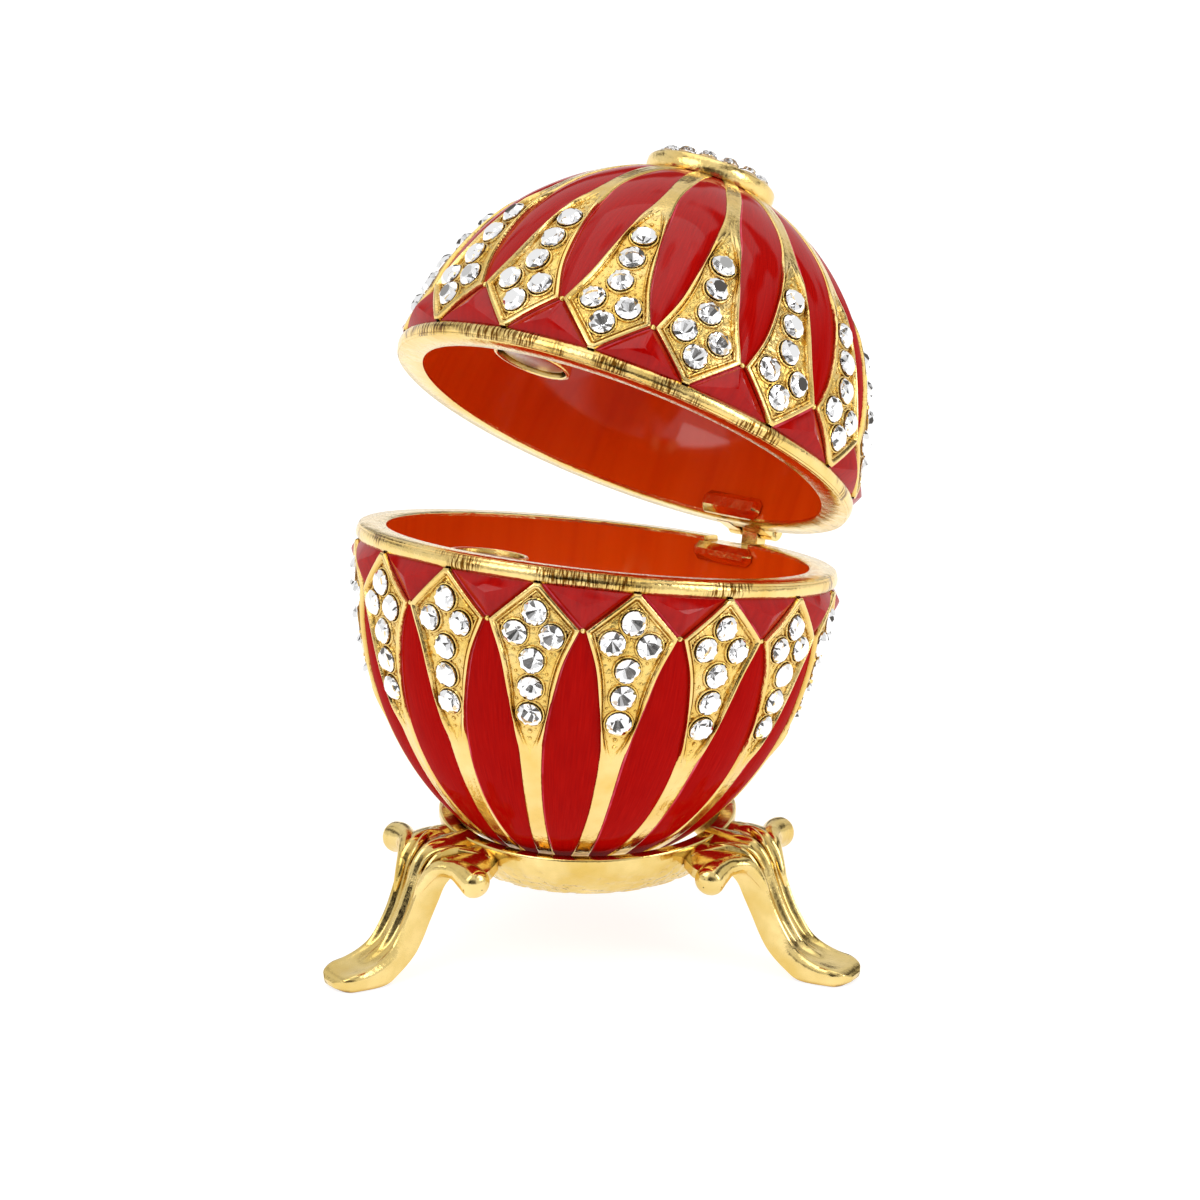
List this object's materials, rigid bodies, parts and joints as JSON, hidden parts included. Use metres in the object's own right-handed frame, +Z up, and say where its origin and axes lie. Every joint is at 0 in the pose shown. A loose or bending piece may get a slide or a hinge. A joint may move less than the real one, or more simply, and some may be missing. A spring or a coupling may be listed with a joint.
{
  "type": "jewelled egg trinket box",
  "caption": "Hinged egg trinket box, red enamel in gold kite borders set with clear stones, lid ajar, leaning in a three-legged gold ring stand.",
  "frame": {"origin": "Midpoint of the footprint of the whole object's bounding box, on the surface that the three feet stand on.", "axes": "+Z is up. -Y is the front, where the lid is lifted, and +X is to the right of someone looking from the front. The egg's axis leans 15.3 degrees back and to the right."},
  "size_m": [0.0518, 0.0516, 0.0725],
  "materials": {
    "gold": "bright gold plate over cast alloy",
    "red_enamel": "gold-plated cast alloy shell under glossy translucent red enamel",
    "button_gold": "bright gold plate, set with clear stones",
    "lining_enamel": "glossy orange-red enamel inside the shells",
    "crystal": "clear faceted stones",
    "magnet_steel": "nickel-plated magnets"
  },
  "bodies": {
    "base": {"stand": "gold", "egg_base": "red_enamel", "base_magnet": "magnet_steel", "hinge_pin": "gold"},
    "lid": {"egg_lid": "red_enamel", "lid_magnet": "magnet_steel", "top_button": "button_gold"}
  },
  "joints": [
    {"name": "lid_hinge", "type": "hinge", "parent": "base", "child": "lid", "pos_m": [0.01488, 0.01625, 0.03279], "axis": [-0.7827, 0.6185, -0.0693], "range_deg": [-24.3, 45]}
  ]
}
